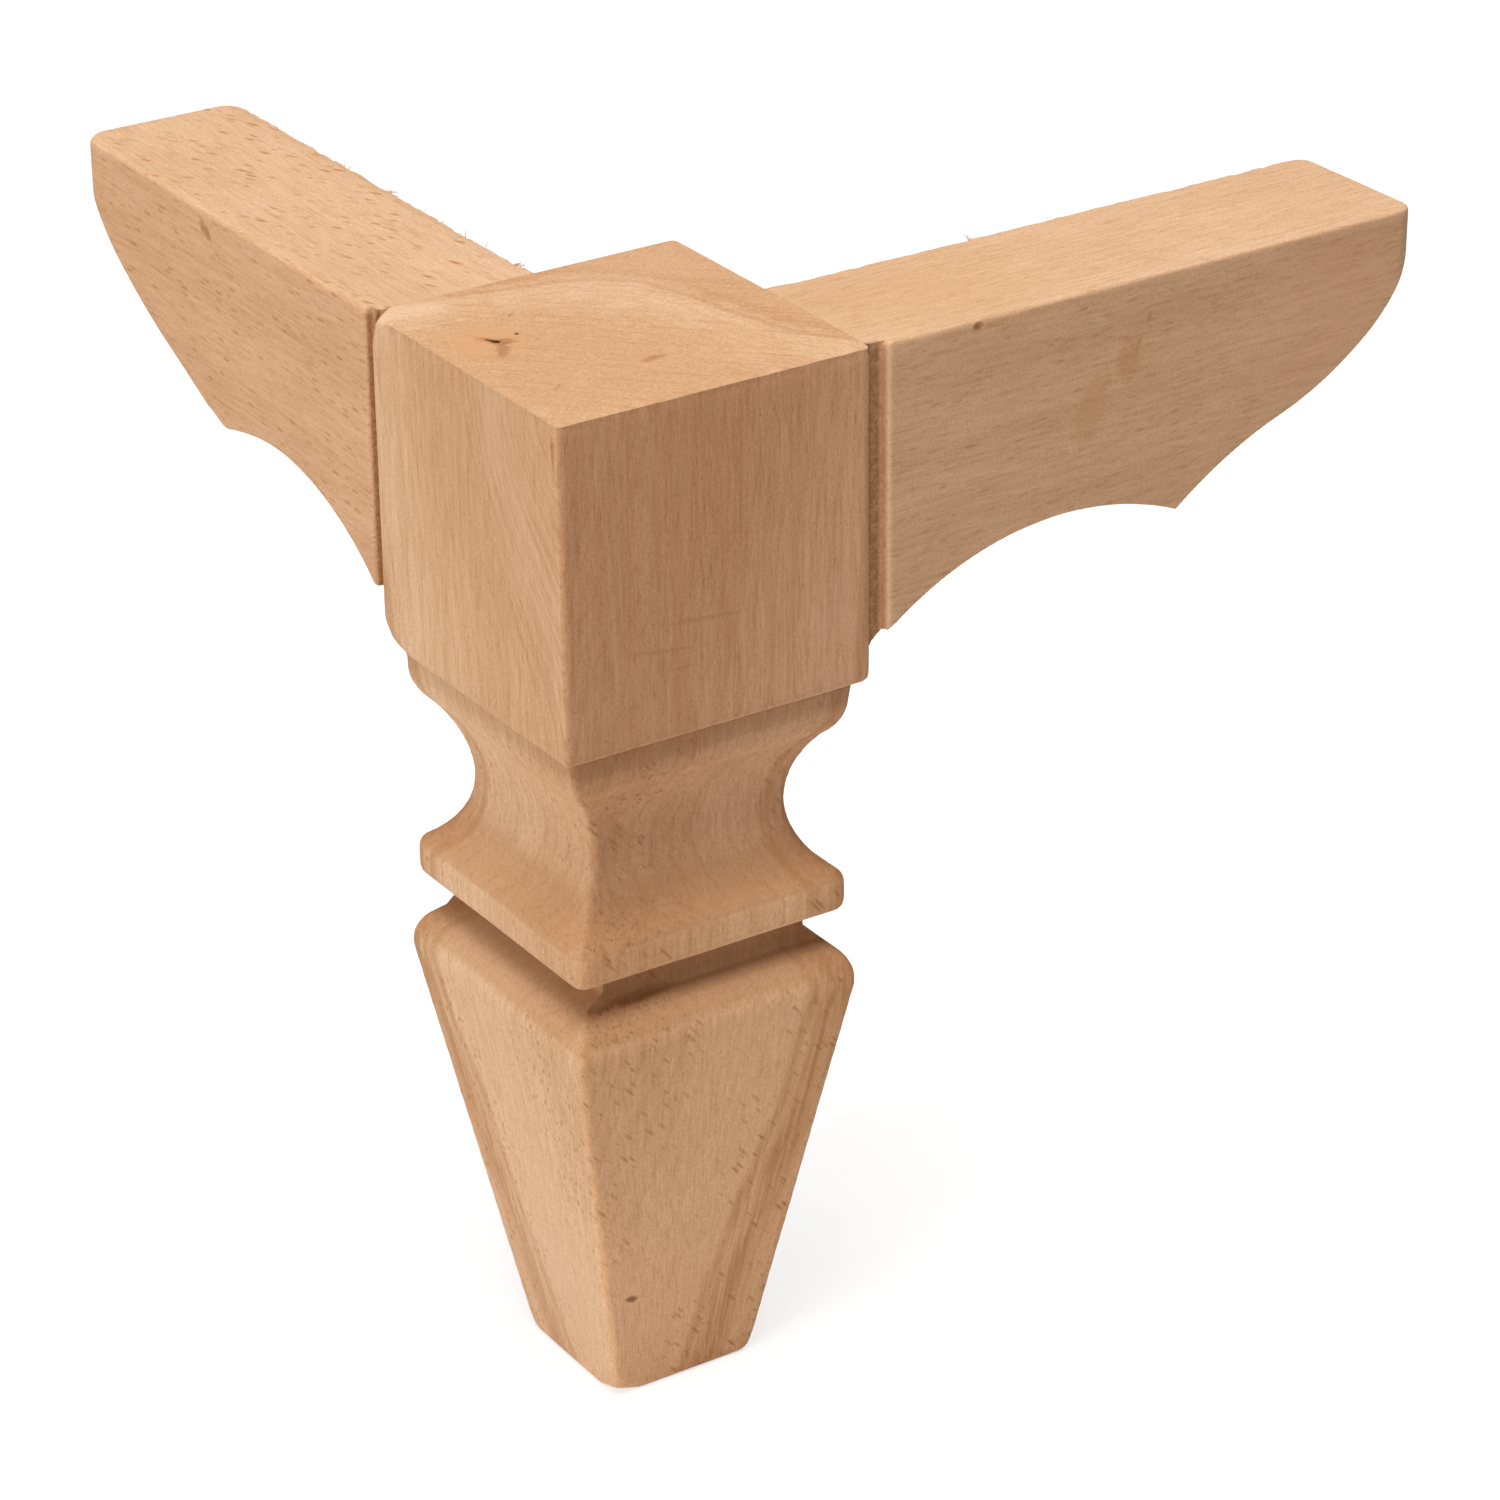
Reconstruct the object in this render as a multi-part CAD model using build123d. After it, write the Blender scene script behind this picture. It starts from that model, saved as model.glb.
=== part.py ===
"""Corner furniture leg in beech: a square moulded post and two scrolled brackets, dowelled to it at a right angle.

Frame: the origin is on the post's axis at the underside of the foot. +Z is up, +X runs along the right bracket
and +Y along the left one. Lengths are in millimetres.
"""
import os
from collections import namedtuple

from build123d import *

# Post, overall
LEG_HEIGHT = 160.0
POST_HALF = 24.5

# Post, moulded outline: heights above the floor and half widths, from the block down to the foot
BLOCK_BOTTOM = 110.4
BAND_TOP_HALF = 22.9
BAND_BOTTOM_HALF = 22.5
BAND_BOTTOM = 107.0
OVOLO_END_HALF = 20.0
OVOLO_END = 102.4
COVE_HALF = 16.1
COVE_MIDDLE = 91.5
FLANGE_HALF = 22.4
FLANGE_TOP = 80.4
FLANGE_BOTTOM = 74.7
LEFT_NECK_HALF = 16.6
RIGHT_NECK_HALF = 19.2
SLOPE_RISE = 0.853
SHOULDER_HALF = 23.75
SHOULDER = 66.3
SHOULDER_ROUND = 6.0
FOOT_HALF = 11.8
RIGHT_NECK_BOTTOM = SHOULDER + SLOPE_RISE * (SHOULDER_HALF - RIGHT_NECK_HALF)

# Post, sanded roundings: down the four corners first, then round the level arrises
CORNER_ROUNDS = (
    (BLOCK_BOTTOM, LEG_HEIGHT, 0.9),
    (0, RIGHT_NECK_BOTTOM, 1.4),
    (FLANGE_BOTTOM, FLANGE_TOP, 2.2),
    (FLANGE_TOP, BLOCK_BOTTOM, 1.2),
)
ARRIS_ROUNDS = (
    (FLANGE_TOP, FLANGE_HALF, 2.4),
    (FLANGE_BOTTOM, FLANGE_HALF, 1.9),
    (0, FOOT_HALF, 1.2),
)
UNDER_BRACKET_ROUND = 1.5

# Brackets: each outline point is (distance out from the post's side, depth below the top)
Scroll = namedtuple(
    "Scroll",
    "joint_depth crown cusp cusp_round hollow hollow_rise flank nose end_round groove_width",
)
RIGHT_SCROLL = Scroll(
    joint_depth=45.0,
    crown=(30.0, 32.4),
    cusp=(52.0, 36.5),
    cusp_round=0.5,
    hollow=(70.2, 26.4),
    hollow_rise=0.85,
    flank=(84.6, 18.4),
    nose=(93.9, 4.2),
    end_round=3.2,
    groove_width=2.6,
)
LEFT_SCROLL = Scroll(
    joint_depth=43.2,
    crown=(29.0, 30.5),
    cusp=(45.9, 33.4),
    cusp_round=3.0,
    hollow=(62.3, 25.3),
    hollow_rise=0.1,
    flank=(76.3, 17.2),
    nose=(87.4, 3.6),
    end_round=4.0,
    groove_width=1.7,
)
BRACKET_THICKNESS = 26.5
GROOVE_DEPTH = 1.3
GROOVE_ARRIS_ROUND = 0.8
TOP_ARRIS_ROUND = 0.7

# Dowels: two in each joint, half in the post and half in the bracket
DOWEL_RADIUS = 4.0
DOWEL_LENGTH = 40.0
DOWEL_CHAMFER = 1.0
DOWEL_DEPTHS = (10.0, 26.0)
GLUE_ROOM = 1.0

# The right bracket's outer and inner faces, and the plane that swaps the right side for the left
OUTER_FACE = -POST_HALF
INNER_FACE = BRACKET_THICKNESS - POST_HALF
SWAP_SIDES = Plane(origin=(0, 0, 0), z_dir=(1, -1, 0))

# Tolerances for picking edges: a point on a plane, and a point on a run rather than on the moulding inside it
NEAR = 0.02
RUN_MARGIN = 1.0


def post_face(neck_half):
    """The moulded outline seen square on to one side of the post, with its neck cut in to a given half width."""
    neck_bottom = SHOULDER + SLOPE_RISE * (SHOULDER_HALF - neck_half)
    with BuildSketch(Plane.XZ) as face:
        with BuildLine():
            top = Line((0, LEG_HEIGHT), (POST_HALF, LEG_HEIGHT))
            side = Line(top @ 1, (POST_HALF, BLOCK_BOTTOM))
            step = Line(side @ 1, (BAND_TOP_HALF, BLOCK_BOTTOM))
            band = Line(step @ 1, (BAND_BOTTOM_HALF, BAND_BOTTOM))
            ovolo = TangentArc(band @ 1, (OVOLO_END_HALF, OVOLO_END), tangent=band % 1)
            cove_top = TangentArc((COVE_HALF, COVE_MIDDLE), ovolo @ 1, tangent=(0, 1))
            cove_foot = TangentArc(cove_top @ 0, (FLANGE_HALF, FLANGE_TOP), tangent=(0, -1))
            nose = Line(cove_foot @ 1, (FLANGE_HALF, FLANGE_BOTTOM))
            undercut = Line(nose @ 1, (neck_half, FLANGE_BOTTOM))
            neck = Line(undercut @ 1, (neck_half, neck_bottom))
            slope = Line(neck @ 1, (SHOULDER_HALF, SHOULDER))
            taper = Line(slope @ 1, (FOOT_HALF, 0))
            Line(taper @ 1, (0, 0))
            mirror(about=Plane.YZ)
        make_face()
        fillet([corner for corner in face.vertices() if abs(corner.Y - SHOULDER) < NEAR], SHOULDER_ROUND)
    return face.sketch


def corner_edges(post, low, high):
    """The mitred corner edges between two heights: their points are as far out along X as along Y."""

    def on_corner(point):
        return abs(abs(point.X) - abs(point.Y)) < NEAR and low - NEAR < point.Z < high + NEAR

    rising = [edge for edge in post.edges() if abs((edge @ 0).Z - (edge @ 1).Z) > NEAR]
    return [edge for edge in rising if all(on_corner(edge @ t) for t in (0, 0.5, 1))]


def arris_edges(post, height, half):
    """The level edges at one height along the outline's four straight runs."""

    def on_arris(point):
        return abs(point.Z - height) < NEAR and max(abs(point.X), abs(point.Y)) > half - RUN_MARGIN

    return [edge for edge in post.edges() if all(on_arris(edge @ t) for t in (0, 0.5, 1))]


def moulded_post():
    """The bare post: its outline run both ways so that the mouldings meet in mitres, then sanded round."""
    run_back = extrude(post_face(LEFT_NECK_HALF), POST_HALF, both=True)
    run_across = Rot(0, 0, 90) * extrude(post_face(RIGHT_NECK_HALF), POST_HALF, both=True)
    post = (run_back & run_across).solid()
    for low, high, radius in CORNER_ROUNDS:
        post = fillet(corner_edges(post, low, high), radius).solid()
    for height, half, radius in ARRIS_ROUNDS:
        post = fillet(arris_edges(post, height, half), radius).solid()
    block_arris = arris_edges(post, BLOCK_BOTTOM, POST_HALF)
    under_brackets = [edge for edge in block_arris if max((edge @ 0.5).X, (edge @ 0.5).Y) > POST_HALF - NEAR]
    return fillet(under_brackets, UNDER_BRACKET_ROUND).solid()


def scroll_face(scroll):
    """One bracket's outline in the plane of its outer face, with the post's side at x = POST_HALF."""

    def at(out, depth):
        return Vector(POST_HALF + out, LEG_HEIGHT - depth)

    with BuildSketch(Plane.XZ.offset(-OUTER_FACE)) as face:
        with BuildLine():
            joint = Line(at(0, 0), at(0, scroll.joint_depth))
            arch = ThreePointArc(joint @ 1, at(*scroll.crown), at(*scroll.cusp))
            hollow = SagittaArc(arch @ 1, at(*scroll.hollow), scroll.hollow_rise)
            flank = TangentArc(hollow @ 1, at(*scroll.flank), tangent=hollow % 1)
            nose = TangentArc(flank @ 1, at(*scroll.nose), tangent=flank % 1)
            end = Line(nose @ 1, at(scroll.nose[0], 0))
            Line(end @ 1, joint @ 0)
        make_face()
        fillet(face.vertices().sort_by_distance(at(*scroll.cusp))[0], scroll.cusp_round)
    return face.sketch


def plan_face(scroll):
    """One bracket seen from above: a straight wing with both corners of its end rounded."""
    reach = POST_HALF + scroll.nose[0]
    turn = scroll.end_round
    with BuildSketch() as face:
        with BuildLine():
            outer = Line((POST_HALF, OUTER_FACE), (reach - turn, OUTER_FACE))
            outer_round = TangentArc(outer @ 1, (reach, OUTER_FACE + turn), tangent=outer % 1)
            end = Line(outer_round @ 1, (reach, INNER_FACE - turn))
            inner_round = TangentArc(end @ 1, (reach - turn, INNER_FACE), tangent=end % 1)
            inner = Line(inner_round @ 1, (POST_HALF, INNER_FACE))
            Line(inner @ 1, outer @ 0)
        make_face()
    return face.sketch


def dowel_places():
    """Where the right joint's dowels cross the post's side, with local Z pointing out of the post."""
    middle = (OUTER_FACE + INNER_FACE) / 2
    return [Plane(origin=(POST_HALF, middle, LEG_HEIGHT - depth), z_dir=(1, 0, 0)) for depth in DOWEL_DEPTHS]


def joint_dowels():
    """The right joint's dowels: short rods with chamfered ends, centred on the joint."""
    rod = Cylinder(DOWEL_RADIUS, DOWEL_LENGTH)
    rod = chamfer(rod.edges().filter_by(GeomType.CIRCLE), DOWEL_CHAMFER)
    return [place * rod for place in dowel_places()]


def dowel_holes():
    """The holes for the right joint's dowels, with room for glue at both blind ends."""
    return [place * Cylinder(DOWEL_RADIUS, DOWEL_LENGTH + 2 * GLUE_ROOM) for place in dowel_places()]


def scrolled_bracket(scroll):
    """A drilled bracket on the right side of the post, with the narrow groove beside its joint."""
    wing = extrude(scroll_face(scroll), -BRACKET_THICKNESS) & extrude(plan_face(scroll), LEG_HEIGHT)
    top = wing.faces().sort_by(Axis.Z)[-1]
    joint_edge = top.edges().sort_by(Axis.X)[0]
    wing = fillet([edge for edge in top.edges() if edge != joint_edge], TOP_ARRIS_ROUND)
    groove = Pos(POST_HALF, OUTER_FACE, 0) * Box(
        scroll.groove_width,
        GROOVE_DEPTH,
        LEG_HEIGHT,
        align=(Align.MIN, Align.MIN, Align.MIN),
    )
    wing -= groove
    mouth = (POST_HALF + scroll.groove_width, OUTER_FACE, LEG_HEIGHT - scroll.joint_depth / 2)
    wing = fillet(wing.edges().filter_by(Axis.Z).sort_by_distance(mouth)[0], GROOVE_ARRIS_ROUND)
    return (wing - dowel_holes()).solid()


def drilled_post():
    """The moulded post with the dowel holes of both joints."""
    holes = dowel_holes()
    holes += [mirror(hole, about=SWAP_SIDES) for hole in holes]
    return (moulded_post() - holes).solid()


def build():
    """Every piece of the leg by name. The left side is the right side's build mirrored, with its own outline."""
    right_dowels = joint_dowels()
    left_dowels = [mirror(rod, about=SWAP_SIDES) for rod in right_dowels]
    return {
        "corner_post": drilled_post(),
        "right_bracket": scrolled_bracket(RIGHT_SCROLL),
        "left_bracket": mirror(scrolled_bracket(LEFT_SCROLL), about=SWAP_SIDES),
        "joint_dowels": Compound(children=right_dowels + left_dowels),
    }


if __name__ == "__main__":
    os.makedirs("parts", exist_ok=True)
    for name, solid in build().items():
        export_step(solid, f"parts/{name}.step")
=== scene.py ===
"""Dresses the beech corner leg: sanded edges, torn end grain, a knot and a raw finish, on a pale stage."""
import math
import random
from collections import namedtuple

import bpy
from bpy.props import FloatProperty, FloatVectorProperty, IntProperty, PointerProperty
from mathutils import Euler, Matrix, Vector


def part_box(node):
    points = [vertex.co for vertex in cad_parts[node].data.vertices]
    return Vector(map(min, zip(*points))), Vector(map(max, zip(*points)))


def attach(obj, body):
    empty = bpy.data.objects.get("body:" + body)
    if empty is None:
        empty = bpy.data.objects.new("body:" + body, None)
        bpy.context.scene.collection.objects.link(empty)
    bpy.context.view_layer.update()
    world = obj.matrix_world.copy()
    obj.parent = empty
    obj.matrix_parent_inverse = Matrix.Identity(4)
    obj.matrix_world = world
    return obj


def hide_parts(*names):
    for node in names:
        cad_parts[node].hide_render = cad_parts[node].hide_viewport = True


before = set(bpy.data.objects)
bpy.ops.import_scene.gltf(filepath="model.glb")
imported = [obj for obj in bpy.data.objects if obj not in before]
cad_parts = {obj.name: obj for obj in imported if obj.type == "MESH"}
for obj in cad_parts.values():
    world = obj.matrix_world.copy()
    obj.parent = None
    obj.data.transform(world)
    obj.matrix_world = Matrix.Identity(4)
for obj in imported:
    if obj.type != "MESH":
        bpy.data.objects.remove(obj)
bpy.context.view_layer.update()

bl_info = {
    "name": "Beech corner leg",
    "version": (1, 0, 0),
    "blender": (4, 5, 0),
    "location": "View3D > Sidebar > Leg",
    "description": "Dresses the solids of a moulded corner leg as raw sanded beech",
    "category": "Object",
}

# Lengths below are millimetres unless a heading says metres, and MM turns them into metres
MM = 0.001
POST_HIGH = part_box("corner_post")[1] / MM
RIGHT_LOW, RIGHT_HIGH = (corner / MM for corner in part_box("right_bracket"))
LEFT_LOW, LEFT_HIGH = (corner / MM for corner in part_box("left_bracket"))
TOP = POST_HIGH.z
HALF = POST_HIGH.x

# Heights and half width of the post, widths of the grooves, and the left bracket's cusp as Y and Z
BLOCK_BOTTOM = 110.4
SHOULDER = 66.3
FOOT_HALF = 11.8
RIGHT_GROOVE = 2.6
LEFT_GROOVE = 1.7
LEFT_CUSP = (70.4, 126.6)

ALONG_X = (1, 0, 0)
ALONG_Y = (0, 1, 0)
UPRIGHT = (0, 0, 1)

# The knot on the post's top: the middle and turn in degrees of its slit, and the pinhole beside it
KNOT = (-15.9, 6.2, TOP)
KNOT_TURN = 26
PINHOLE = (-11.9, 6.6, TOP)

# Rubbed corners of the post: a place, how far the wear reaches along each axis, and smoothing passes
CORNER_WEAR = {
    "Lower left corner": ((-HALF, HALF, BLOCK_BOTTOM), (4.0, 6.5, 4.5), 60),
    "Upper left corner": ((-HALF, HALF, TOP), (3.0, 4.5, 4.5), 45),
    "Front toe": ((-FOOT_HALF, -FOOT_HALF, 0), (4.5, 4.5, 4.0), 60),
    "Right toe": ((FOOT_HALF, -FOOT_HALF, 0), (2.2, 2.2, 3.5), 12),
    "Left toe": ((-FOOT_HALF, FOOT_HALF, 0), (3.0, 3.0, 3.0), 10),
}

# Smoothing passes on the brackets' worn edges
GROOVE_ARRIS_PASSES = 3
FRONT_ARRIS_PASSES = 10
CUSP_PASSES = 18

# Small hollows: a place, three radii, and a turn about Z in degrees
POST_HOLLOWS = (
    (KNOT, (0.35, 1.3, 1.1), KNOT_TURN),
    (PINHOLE, (0.25, 0.28, 0.6), 0),
    ((-10.5, -15.6, 18.3), (1.2, 0.5, 0.45), 0),
    ((-24.7, -23.2, 157.4), (0.5, 0.45, 1.4), 0),
)
RIGHT_HOLLOWS = (
    ((42.0, -24.9, 159.0), (1.3, 0.8, 0.9), 10),
    ((62.4, -24.9, 155.6), (1.6, 0.5, 0.5), 0),
)

# Tufts of torn fibre: a place, the way they point, how many, and how far they spread along the edge
TUFTS = (
    ((1.6, 78.0, 159.4), (0.6, 0.8, 0.1), 6, (0.1, 1.6, 0.1)),
    ((1.6, 65.2, 159.4), (0.9, -0.3, 0.1), 7, (0.1, 1.2, 0.1)),
    ((1.6, 48.2, 159.4), (0.7, 0.6, 0.1), 4, (0.1, 2.2, 0.1)),
    ((1.6, 29.0, 159.4), (0.8, 0.5, 0.1), 9, (0.1, 1.6, 0.1)),
    ((1.6, 55.0, 159.4), (0.5, 0.8, 0.0), 8, (0.1, 26.0, 0.1)),
    ((59.1, 1.7, 159.4), (0.2, 1.0, 0.05), 6, (0.3, 0.1, 0.1)),
)
TUFT_SEED = 11

# Tints of stains, lines and grooves; the dark burnt brown also paints shade in the neck, the cove's crease
# and the step under the block, and the post's shadow in the grooves, and the pale edge tint paints a
# highlight on the right groove's arris
RED = (0.40, 0.15, 0.06, 1)
WARM = (0.74, 0.39, 0.18, 1)
WARM_LINE = (0.48, 0.21, 0.08, 1)
# Dark brown of burns, pits and chips, also used as painted shade and painted shadow
BURN_AND_SHADE = (0.23, 0.085, 0.025, 1)
SMEAR = (0.62, 0.30, 0.105, 1)
DASH = (0.52, 0.245, 0.08, 1)
MARK = (0.50, 0.22, 0.07, 1)
PINK = (0.82, 0.55, 0.38, 1)
FADED = (0.84, 0.60, 0.44, 1)
GLOW = (0.92, 0.52, 0.31, 1)
SCRAPE = (0.86, 0.62, 0.42, 1)
# Pale edge, also used as a painted highlight on the right groove's outer arris
PALE_EDGE = (0.90, 0.66, 0.44, 1)
GROOVE_BROWN = (0.42, 0.21, 0.085, 1)

# Painted shade: tints that multiply the faces turned from the light, the post's front face on the block and,
# warmer, on the foot, and the brackets' sides, which fall darker and warmer than their tops
SHADED_BLOCK_TINT = (0.92, 0.81, 0.76, 1)
SHADED_FOOT_TINT = (1.07, 0.97, 0.88, 1)
SIDE_SHADE_TINT = (0.98, 0.925, 0.895, 1)

# How far red, green and blue fall where the grain darkens: red least, so that darker wood is warmer
DARKENING = (0.75, 1.05, 1.45)

# The wood's noise, in waves per millimetre: twice across the grain, then along it
STREAK_WAVES = (0.34, 0.34, 0.022)
FIBRE_WAVES = (1.5, 1.5, 0.13)
THREAD_WAVES = (2.4, 2.4, 0.16)
PATCH_WAVES = (0.06, 0.06, 0.06)
GRIT_WAVES = (2.7, 2.7, 2.2)

# How strong the brackets' streaks are beside the post's
BRACKET_STREAK = 0.45

# Growth rings of the post: how they arch around the knot, lean, wander and follow each other
ARCH_SIDE = 4.4
ARCH_REACH = 20.6
ARCH_FOOT = 112.0
ARCH_RISE = 18.0
RING_LEAN = 0.066
RING_WANDER = 4.0
RING_WIDTH = 2.3

# Lightness of the post's ring bands, as depth through the rings and tone
RING_TONES = (
    (-48, 0.4), (-30, 0.35), (-20, 0.3), (-14, 0.5), (-8, 0.75), (-1, 1.0), (0.6, 0.9),
    (1.4, 0.3), (2.4, 0.75), (3.6, 0.7), (5.0, 0.1), (6.5, 0.3), (24, 0.3),
)

# Painted shade, partly browner wood that the cutter left, in the neck, the cove's crease and the step under
# the block, as height and tone
RECESS_SHADE_AND_BURN_TONES = (
    (60, 1.0), (68.6, 1.0), (70.2, 0.6), (71.6, 0.5), (74.6, 0.55), (75.2, 1.0), (100.5, 1.0), (102.3, 0.93),
    (103.6, 1.0), (106.6, 0.98), (107.4, 0.87), (109.8, 0.77), (110.36, 0.58), (110.5, 1.0), (120, 1.0),
)

# Each bracket's look: turns in degrees for grain and flecks, fleck strengths, its bands' way and its groove
BracketLook = namedtuple("BracketLook", "name grain side_turn side_fleck top_turn top_fleck bands groove")
# A groove: its outward and inward axes, its width, and the strength of the painted highlight on its outer
# arris
Groove = namedtuple("Groove", "out inward width pale")
RIGHT_LOOK = BracketLook(
    name="Right bracket beech",
    grain={"y": -90},
    side_turn={"y": 4},
    side_fleck=0.45,
    top_turn={"z": -6},
    top_fleck=0.25,
    bands=(0.0, 0.35, 0.9),
    groove=Groove(out=ALONG_X, inward=ALONG_Y, width=RIGHT_GROOVE - 0.2, pale=0.5),
)
LEFT_LOOK = BracketLook(
    name="Left bracket beech",
    grain={"x": 90},
    side_turn={"z": -90},
    side_fleck=0.65,
    top_turn={"z": -111.7},
    top_fleck=0.85,
    bands=(0.5, 0.0, 0.8),
    groove=Groove(out=ALONG_Y, inward=ALONG_X, width=LEFT_GROOVE + 0.5, pale=0.0),
)

# Stains of the brackets: a centre, three sizes, a tint, a strength, and an axis and a turn in degrees
RIGHT_STAINS = (
    ((103.0, -HALF, 146.0), (20.0, 6.0, 18.0), GLOW, 0.25, ALONG_Y, 0),
    ((67.7, -HALF, 148.2), (3.0, 3.0, 3.6), SMEAR, 0.5, ALONG_Y, 15),
    ((61.5, -HALF, 143.0), (3.6, 3.0, 6.4), SMEAR, 0.38, ALONG_Y, 20),
    ((38.0, -12.0, TOP), (30.0, 20.0, 3.0), SMEAR, 0.2, UPRIGHT, 0),
    ((42.0, -24.3, 158.8), (1.3, 1.0, 0.9), BURN_AND_SHADE, 0.5, ALONG_Y, 0),
    ((71.0, -HALF, 154.0), (0.5, 1.0, 0.9), DASH, 0.6, ALONG_Y, 20),
    ((69.3, -HALF, 150.5), (0.3, 1.0, 1.9), DASH, 0.5, ALONG_Y, 20),
    ((57.7, -HALF, 137.5), (0.25, 1.0, 1.6), SCRAPE, 0.6, ALONG_Y, -20),
    ((58.6, -HALF, 137.2), (0.2, 1.0, 1.3), SCRAPE, 0.5, ALONG_Y, -25),
    ((62.4, -HALF, 155.4), (1.6, 1.0, 0.5), SCRAPE, 0.5, ALONG_Y, 10),
)
LEFT_STAINS = (
    ((-HALF, 72.6, 157.0), (2.5, 1.2, 2.5), MARK, 0.85, ALONG_X, -55),
)

# Soft lights: a place and a width in metres, and a tint
LIGHTS = {
    "overhead": ((0.0, -0.1, 1.6), 1.2, (1.0, 1.0, 1.0)),
    "side": ((-1.5, -0.3, 0.45), 0.9, (1.0, 0.97, 0.92)),
    "key": ((-0.6, -0.5, 1.5), 0.7, (1.0, 0.96, 0.92)),
}

# The floor's radius in metres, and the width of the camera's sensor in millimetres
FLOOR_RADIUS = 4.0
SENSOR_WIDTH = 36.0

VECTOR = "NodeSocketVector"
NUMBER = "NodeSocketFloat"
COLOUR = "NodeSocketColor"


class LegWood(bpy.types.PropertyGroup):
    """Colours and finish of the raw beech."""

    pale: FloatVectorProperty(
        name="Pale wood", description="Lightest bands of the beech", subtype="COLOR",
        size=4, min=0, max=1, default=(0.812, 0.53, 0.325, 1),
    )
    brown: FloatVectorProperty(
        name="Brown wood", description="Darker, redder bands of the beech", subtype="COLOR",
        size=4, min=0, max=1, default=(0.665, 0.38, 0.204, 1),
    )
    fleck: FloatVectorProperty(
        name="Ray fleck", description="The short brown flecks of the wood's rays", subtype="COLOR",
        size=4, min=0, max=1, default=(0.44, 0.195, 0.075, 1),
    )
    torn: FloatVectorProperty(
        name="Torn end grain", description="Rough wood where a cutter crossed the grain", subtype="COLOR",
        size=4, min=0, max=1, default=(0.58, 0.29, 0.135, 1),
    )
    bark: FloatVectorProperty(
        name="Knot bark", description="The dark core of the knot", subtype="COLOR",
        size=4, min=0, max=1, default=(0.045, 0.018, 0.010, 1),
    )
    roughness: FloatProperty(
        name="Roughness", description="Dullness of the sanded surface", subtype="FACTOR",
        min=0, max=1, default=0.75,
    )
    relief: FloatProperty(
        name="Grain relief", description="Height of the raised grain", subtype="DISTANCE", unit="LENGTH",
        min=0, default=0.10 * MM,
    )


class LegShape(bpy.types.PropertyGroup):
    """How finely the pieces are meshed and how much they are worn."""

    post_fineness: FloatProperty(
        name="Post mesh", description="Fineness of the post's mesh", subtype="FACTOR",
        min=0.3, max=0.99, default=0.95,
    )
    bracket_fineness: FloatProperty(
        name="Bracket mesh", description="Fineness of the brackets' mesh", subtype="FACTOR",
        min=0.3, max=0.99, default=0.85,
    )
    sanding: IntProperty(
        name="Sanding", description="Smoothing passes that soften the arrises", min=0, default=1,
    )
    unevenness: FloatProperty(
        name="Unevenness", description="Depth of the hand-sanded dips", subtype="DISTANCE", unit="LENGTH",
        min=0, default=0.12 * MM,
    )
    ragged: FloatProperty(
        name="Raggedness", description="Depth of the dents along the rough top edges", subtype="DISTANCE",
        unit="LENGTH", min=0, default=0.35 * MM,
    )
    tear: FloatProperty(
        name="Tear-out", description="Depth of the torn end grain", subtype="DISTANCE", unit="LENGTH",
        min=0, default=0.3 * MM,
    )


class LegStage(bpy.types.PropertyGroup):
    """Camera and light."""

    aim: FloatVectorProperty(
        name="Aim", description="Point at the middle of the picture", subtype="TRANSLATION", unit="LENGTH",
        default=(0.714 * MM, -30.402 * MM, 109.296 * MM),
    )
    distance: FloatProperty(
        name="Distance", description="From the camera to the aim", subtype="DISTANCE", unit="LENGTH",
        default=686.587 * MM,
    )
    azimuth: FloatProperty(
        name="Azimuth", description="Camera's turn from the front, towards the right", subtype="ANGLE",
        unit="ROTATION", default=math.radians(-32.8585),
    )
    elevation: FloatProperty(
        name="Elevation", description="Camera's height above level", subtype="ANGLE", unit="ROTATION",
        default=math.radians(26.3828),
    )
    roll: FloatProperty(
        name="Roll", description="Tilt of the camera about its line of sight", subtype="ANGLE",
        unit="ROTATION", default=math.radians(-0.6453),
    )
    lens: FloatProperty(
        name="Lens", description="Focal length on a 36 mm sensor, in millimetres", min=1, default=122.804,
    )
    overhead: FloatProperty(
        name="Overhead light", description="Power of the soft light above, in watts", min=0, default=21.5,
    )
    side: FloatProperty(
        name="Side light", description="Power of the soft light on the left, in watts", min=0, default=9.8,
    )
    key: FloatProperty(
        name="Key light", description="Power of the light at the front left, in watts", min=0, default=4.6,
    )


def only(piece):
    """Leaves one object selected and active."""
    bpy.ops.object.select_all(action="DESELECT")
    piece.select_set(True)
    bpy.context.view_layer.objects.active = piece


def finish_with(piece, label, kind, **settings):
    """Adds a modifier, sets it and applies it."""
    only(piece)
    modifier = piece.modifiers.new(label, kind)
    for name, value in settings.items():
        setattr(modifier, name, value)
    bpy.ops.object.modifier_apply(modifier=label)


def ease(value, low, high):
    """Rises smoothly from 0 at low to 1 at high."""
    share = min(max((value - low) / (high - low), 0.0), 1.0)
    return share * share * (3 - 2 * share)


def mark_zone(piece, label, weigh):
    """A vertex group weighted by each point's place, in millimetres, and normal."""
    group = piece.vertex_groups.new(name=label)
    for vertex in piece.data.vertices:
        weight = weigh(vertex.co / MM, vertex.normal)
        if weight > 0.01:
            group.add([vertex.index], min(weight, 1.0), "REPLACE")
    return label


def rub(piece, label, weigh, passes):
    """Smooths the zone that a function of place and normal weighs."""
    zone = mark_zone(piece, label, weigh)
    finish_with(piece, label + " wear", "SMOOTH", factor=0.5, iterations=passes, vertex_group=zone)


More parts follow.
